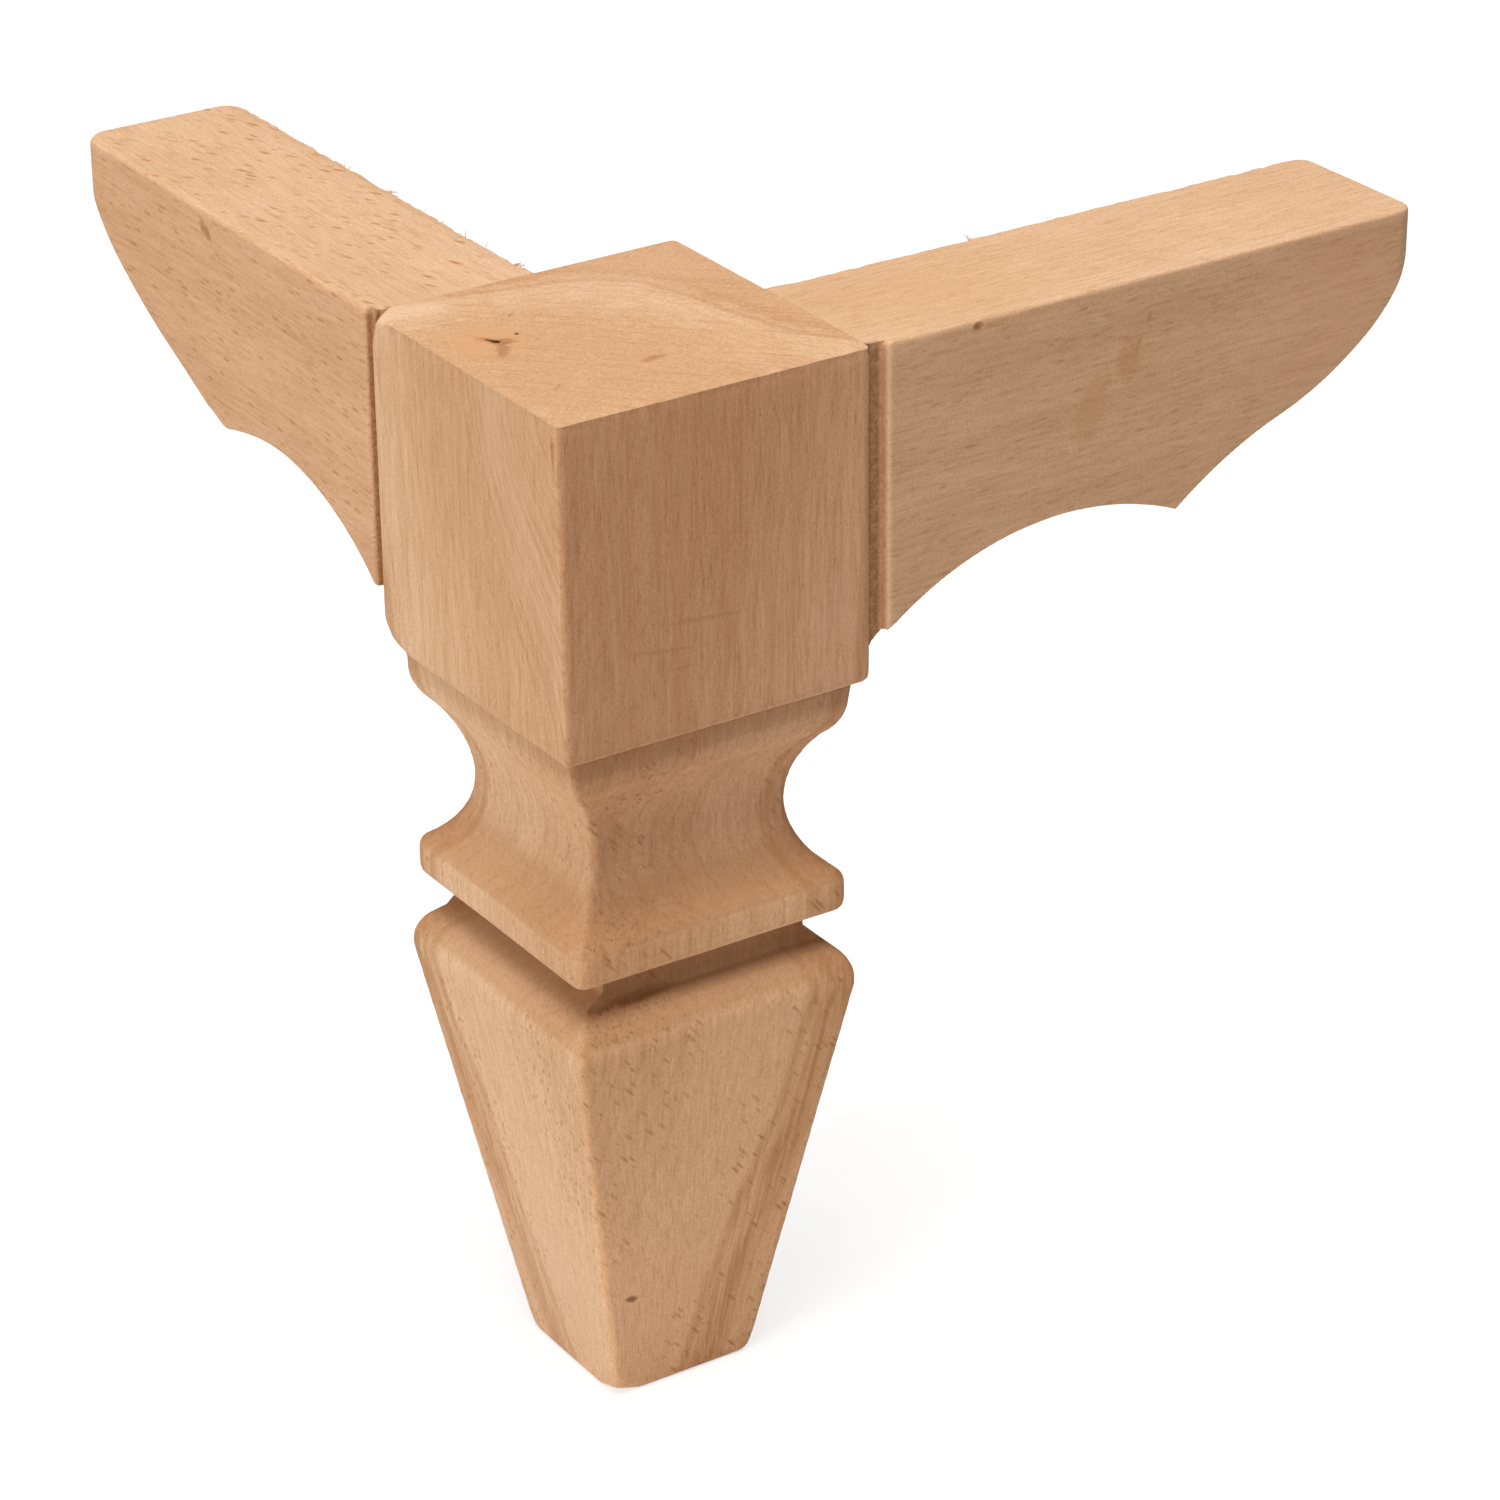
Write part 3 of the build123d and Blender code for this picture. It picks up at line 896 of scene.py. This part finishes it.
def plain_material(groups, name):
    """Straight, plain beech for the dowels and loose fibres."""
    wood = bpy.context.scene.leg_wood
    material, tree, surface, position, _ = new_material(name)
    figure = use(
        tree, groups["figure"], Position=position, Grain=position, Band=0.6, Fleck=0.0,
        Pale_wood=wood.pale, Brown_wood=wood.brown, Fleck_wood=wood.fleck,
    )
    show_wood(tree, surface, figure["Color"], figure["Relief"])
    return material


def near_post_top(place):
    """Where the post's arrises stay crisp: its top edges and the edges of its two joints."""
    at_top = ease(place.z, TOP - 2.0, TOP - 1.0)
    at_side = ease(max(place.x, place.y), HALF - 1.5, HALF - 0.5)
    at_joints = at_side * ease(place.z, BLOCK_BOTTOM + 1.6, BLOCK_BOTTOM + 3.6)
    return max(at_top, at_joints)


def off_post_joints(place, normal):
    """The post's surface away from its two joints."""
    at_side = ease(max(place.x, place.y), HALF - 4.5, HALF - 1.0)
    return 1.0 - at_side * ease(place.z, BLOCK_BOTTOM - 0.4, BLOCK_BOTTOM + 3.6)


def on_post_top_edges(place, normal):
    """The two upper edges of the post that face the front and the left."""
    return ease(place.z, TOP - 1.6, TOP - 0.4) * ease(min(place.x, place.y), -HALF + 1.8, -HALF + 0.6)


def on_torn_slopes(place, normal):
    """The mouldings' slopes near the front corner, where the cutter crossed the grain."""
    on_slopes = ease(normal.z, 0.25, 0.6) * ease(place.z, 106.0, 96.0)
    return on_slopes * ease(place.x + place.y, -22.0, -36.0)


class LEG_OT_corner_post(bpy.types.Operator):
    """Model the moulded post with worn corners, torn end grain, the knot's slit and its chips"""

    bl_idname = "leg.corner_post"
    bl_label = "Corner post"

    def execute(self, context):
        shape = context.scene.leg_shape
        post = sanded_copy("corner_post", "post_beech", shape.post_fineness, near_post_top)
        for label, (corner, reach, passes) in CORNER_WEAR.items():
            rub_corner(post, label, corner, reach, passes)
        dip(post, "Post dips", 14.0, shape.unevenness, off_post_joints)
        dip(post, "Rough top edges", 2.2, shape.ragged, on_post_top_edges)
        dip(post, "Torn slopes", 0.9, shape.tear, on_torn_slopes)
        gouge(post, POST_HOLLOWS)
        settle(post, post_material(shader_groups()), "corner_post")
        return {"FINISHED"}


def near_joint(out):
    """Where a bracket stays crisp: its end against the post."""
    return ease(out, 1.2, 0.6)


def off_joint(out):
    """A bracket's surface away from the post."""
    return ease(out, 1.0, 5.0)


def on_back_edge(height, out, inside):
    """A bracket's upper back edge: out is the distance from the joint and inside that from the back face."""
    return ease(height, TOP - 2.0, TOP - 0.6) * ease(inside, 2.0, 0.6) * ease(out, 2.5, 5.5)


def right_bracket(shape):
    """The right bracket: dips, a worn groove with a torn floor, a rough back edge and two nicks."""

    def out(place):
        return place.x - RIGHT_LOW.x

    def on_groove_arris(place, normal):
        return ease(math.hypot(out(place) - RIGHT_GROOVE, place.y - RIGHT_LOW.y), 1.6, 0.8)

    def on_groove_floor(place, normal):
        on_width = ease(out(place), 3.4, 2.4) * ease(out(place), 0.1, 0.5)
        return on_width * ease(place.y - RIGHT_LOW.y, 1.6, 1.4)

    def on_edge(place, normal):
        return on_back_edge(place.z, out(place), RIGHT_HIGH.y - place.y)

    piece = sanded_copy(
        "right_bracket", "right_bracket_beech", shape.bracket_fineness, lambda place: near_joint(out(place)),
    )
    dip(piece, "Right dips", 12.0, shape.unevenness, lambda place, normal: off_joint(out(place)))
    rub(piece, "Right arris", on_groove_arris, GROOVE_ARRIS_PASSES)
    dip(piece, "Groove grain", 0.6, shape.tear, on_groove_floor)
    dip(piece, "Rough right edge", 2.4, shape.ragged, on_edge)
    gouge(piece, RIGHT_HOLLOWS)
    return piece


def left_bracket(shape):
    """The left bracket: dips, a worn front arris and cusp, and a rougher back edge."""

    def out(place):
        return place.y - LEFT_LOW.y

    def on_front_arris(place, normal):
        return ease(math.hypot(place.x - LEFT_LOW.x, place.z - TOP), 3.5, 1.0) * ease(out(place), 2.5, 7.5)

    def on_cusp(place, normal):
        return ease(math.hypot(place.y - LEFT_CUSP[0], place.z - LEFT_CUSP[1]), 6.0, 0.5)

    def on_edge(place, normal):
        return on_back_edge(place.z, out(place), LEFT_HIGH.x - place.x)

    piece = sanded_copy(
        "left_bracket", "left_bracket_beech", shape.bracket_fineness, lambda place: near_joint(out(place)),
    )
    dip(piece, "Left dips", 12.0, shape.unevenness, lambda place, normal: off_joint(out(place)))
    rub(piece, "Left front arris", on_front_arris, FRONT_ARRIS_PASSES)
    rub(piece, "Left cusp", on_cusp, CUSP_PASSES)
    dip(piece, "Rough left edge", 1.8, 1.6 * shape.ragged, on_edge)
    return piece


class LEG_OT_brackets(bpy.types.Operator):
    """Model the two scrolled brackets with sanded arrises, rough back edges and their own wear"""

    bl_idname = "leg.brackets"
    bl_label = "Scrolled brackets"

    def execute(self, context):
        shape = context.scene.leg_shape
        groups = shader_groups()
        right_wood = bracket_material(groups, RIGHT_LOOK, RIGHT_STAINS)
        settle(right_bracket(shape), right_wood, "right_bracket")
        left_wood = bracket_material(groups, LEFT_LOOK, LEFT_STAINS)
        settle(left_bracket(shape), left_wood, "left_bracket")
        return {"FINISHED"}


class LEG_OT_joint_dowels(bpy.types.Operator):
    """Give the hidden dowels their plain wood"""

    bl_idname = "leg.joint_dowels"
    bl_label = "Joint dowels"

    def execute(self, context):
        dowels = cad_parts["joint_dowels"]
        dowels.data.materials.clear()
        dowels.data.materials.append(plain_material(shader_groups(), "Dowel beech"))
        return {"FINISHED"}


def curled_fibre():
    """One short torn fibre, drawn up out of a tiny ring and bent over as it thins."""
    bpy.ops.object.select_all(action="DESELECT")
    bpy.ops.mesh.primitive_circle_add(vertices=6, radius=0.07 * MM, fill_type="NGON")
    fibre = bpy.context.object
    bpy.ops.object.mode_set(mode="EDIT")
    bpy.ops.mesh.select_all(action="SELECT")
    tip = Vector((0, 0, 0))
    for bend in (0.02, 0.06, 0.12, 0.18):
        step = Vector((bend, 0, 0.28)) * MM
        tip += step
        bpy.ops.mesh.extrude_region_move(TRANSFORM_OT_translate={"value": step})
        bpy.ops.transform.resize(value=(0.78, 0.78, 0.78), center_override=tip)
    bpy.ops.mesh.select_all(action="SELECT")
    bpy.ops.mesh.normals_make_consistent(inside=False)
    bpy.ops.object.mode_set(mode="OBJECT")
    return fibre


def planted_fibre(model, place, way, spread, chance):
    """A copy of the fibre near a place, leaning about one way, with its tip below the leg's top."""
    shift = Vector(chance.uniform(-reach, reach) for reach in spread)
    lean = Vector(way) + Vector(chance.uniform(-0.35, 0.35) for axis in range(3))
    lean.z = min(lean.z, 0.1)
    turn = lean.to_track_quat("Z", "Y") @ Euler((0, 0, chance.uniform(0, 6.28))).to_quaternion()
    size = chance.uniform(0.5, 1.7)
    copy = bpy.data.objects.new("Fibre", model.data.copy())
    copy.matrix_world = Matrix.LocRotScale((Vector(place) + shift) * MM, turn, (size, size, size))
    bpy.context.scene.collection.objects.link(copy)
    highest = max((copy.matrix_world @ point.co).z for point in copy.data.vertices)
    copy.location.z -= max(0.0, highest - (TOP - 0.1) * MM)
    return copy


class LEG_OT_torn_fibres(bpy.types.Operator):
    """Model one torn fibre and set copies of it along the brackets' rough edges"""

    bl_idname = "leg.torn_fibres"
    bl_label = "Torn fibres"

    def execute(self, context):
        chance = random.Random(TUFT_SEED)
        model = curled_fibre()
        copies = []
        for place, way, count, spread in TUFTS:
            copies += [planted_fibre(model, place, way, spread, chance) for number in range(count)]
        bpy.data.objects.remove(model)
        only(copies[0])
        for copy in copies:
            copy.select_set(True)
        bpy.ops.object.join()
        fibres = context.object
        fibres.name = "torn_fibres"
        bpy.ops.object.transform_apply(location=True, rotation=True, scale=True)
        settle(fibres, plain_material(shader_groups(), "Fibre beech"))
        return {"FINISHED"}


def camera_axes(stage):
    """The camera's right, up and back directions from its azimuth, elevation and roll."""
    back = Vector((
        math.sin(stage.azimuth) * math.cos(stage.elevation),
        -math.cos(stage.azimuth) * math.cos(stage.elevation),
        math.sin(stage.elevation),
    ))
    level = Vector((0, 0, 1)).cross(back).normalized()
    right = level * math.cos(stage.roll) + back.cross(level) * math.sin(stage.roll)
    return right, back.cross(right), back


def add_light(name, place, aim, size, power, tint):
    """A square soft light turned towards a point."""
    bpy.ops.object.light_add(type="AREA", location=place)
    lamp = bpy.context.object
    lamp.name = name
    lamp.rotation_euler = (Vector(place) - aim).to_track_quat("Z", "Y").to_euler()
    lamp.data.size = size
    lamp.data.energy = power
    lamp.data.color = tint


def add_camera(stage):
    """The camera at the picture's angle."""
    right, up, back = camera_axes(stage)
    bpy.ops.object.camera_add(location=Vector(stage.aim) + back * stage.distance)
    camera = bpy.context.object
    camera.name = "Picture camera"
    camera.rotation_euler = Matrix((right, up, back)).transposed().to_euler()
    camera.data.sensor_width = SENSOR_WIDTH
    camera.data.lens = stage.lens
    camera.data.clip_start = 0.01
    return camera


def seen_directly(tree):
    """1 for rays that show the stage, straight or by mirror or glass, and 0 for its light."""
    path = add(tree, "LightPath").outputs
    return calc(tree, "MAXIMUM", path["Is Camera Ray"], path["Is Glossy Ray"], path["Is Transmission Ray"])


def floor_material():
    """A pale floor that the camera sees as white, apart from the leg's soft shadow."""
    material = bpy.data.materials.new("Pale floor")
    material.use_nodes = True
    tree = material.node_tree
    surface = tree.nodes["Principled BSDF"]
    surface.inputs["Base Color"].default_value = (0.85, 0.85, 0.85, 1)
    surface.inputs["Roughness"].default_value = 0.9
    surface.inputs["Specular IOR Level"].default_value = 0.0
    glow = add(tree, "Emission", (1, 1, 1, 1), 0.72)
    shade = add(tree, "BsdfDiffuse", (0.5, 0.5, 0.5, 1))
    both = add(tree, "AddShader", glow.outputs[0], shade.outputs[0])
    choice = add(tree, "MixShader", seen_directly(tree), surface.outputs[0], both.outputs[0])
    plug(tree, tree.nodes["Material Output"].inputs["Surface"], choice.outputs[0])
    return material


def light_world():
    """White behind the leg where it is seen, without lighting the leg."""
    world = bpy.data.worlds.new("Studio")
    bpy.context.scene.world = world
    world.use_nodes = True
    tree = world.node_tree
    plug(tree, tree.nodes["Background"].inputs["Color"], (1, 1, 1, 1))
    plug(tree, tree.nodes["Background"].inputs["Strength"], seen_directly(tree))


class LEG_OT_stage(bpy.types.Operator):
    """Set the pale floor, the soft lights and the camera at the picture's angle"""

    bl_idname = "leg.stage"
    bl_label = "Stage"

    def execute(self, context):
        scene = context.scene
        stage = scene.leg_stage
        scene.view_settings.view_transform = "Standard"
        bpy.ops.object.select_all(action="DESELECT")
        bpy.ops.mesh.primitive_circle_add(vertices=96, radius=FLOOR_RADIUS, fill_type="NGON")
        floor = context.object
        floor.name = "pale_floor"
        floor.data.materials.append(floor_material())
        for name, (place, size, tint) in LIGHTS.items():
            add_light(name.title(), place, Vector(stage.aim), size, getattr(stage, name), tint)
        light_world()
        scene.camera = add_camera(stage)
        return {"FINISHED"}


class LEG_PT_panel(bpy.types.Panel):
    """The leg's pieces and settings in the sidebar"""

    bl_idname = "LEG_PT_panel"
    bl_label = "Beech corner leg"
    bl_space_type = "VIEW_3D"
    bl_region_type = "UI"
    bl_category = "Leg"

    def draw(self, context):
        for operator in OPERATORS:
            self.layout.operator(operator.bl_idname)
        for settings in (context.scene.leg_shape, context.scene.leg_wood, context.scene.leg_stage):
            box = self.layout.box()
            for name in settings.__annotations__:
                box.prop(settings, name)


OPERATORS = (LEG_OT_corner_post, LEG_OT_brackets, LEG_OT_joint_dowels, LEG_OT_torn_fibres, LEG_OT_stage)
CLASSES = (LegWood, LegShape, LegStage) + OPERATORS + (LEG_PT_panel,)


def register():
    """Registers the classes and the settings on the scene."""
    for item in CLASSES:
        bpy.utils.register_class(item)
    bpy.types.Scene.leg_wood = PointerProperty(type=LegWood)
    bpy.types.Scene.leg_shape = PointerProperty(type=LegShape)
    bpy.types.Scene.leg_stage = PointerProperty(type=LegStage)


def unregister():
    """Takes the settings and classes away again."""
    del bpy.types.Scene.leg_stage
    del bpy.types.Scene.leg_shape
    del bpy.types.Scene.leg_wood
    for item in reversed(CLASSES):
        bpy.utils.unregister_class(item)


def main():
    """Builds the dressed leg and its stage."""
    register()
    bpy.ops.leg.corner_post()
    bpy.ops.leg.brackets()
    bpy.ops.leg.joint_dowels()
    bpy.ops.leg.torn_fibres()
    bpy.ops.leg.stage()


if __name__ == "__main__":
    main()
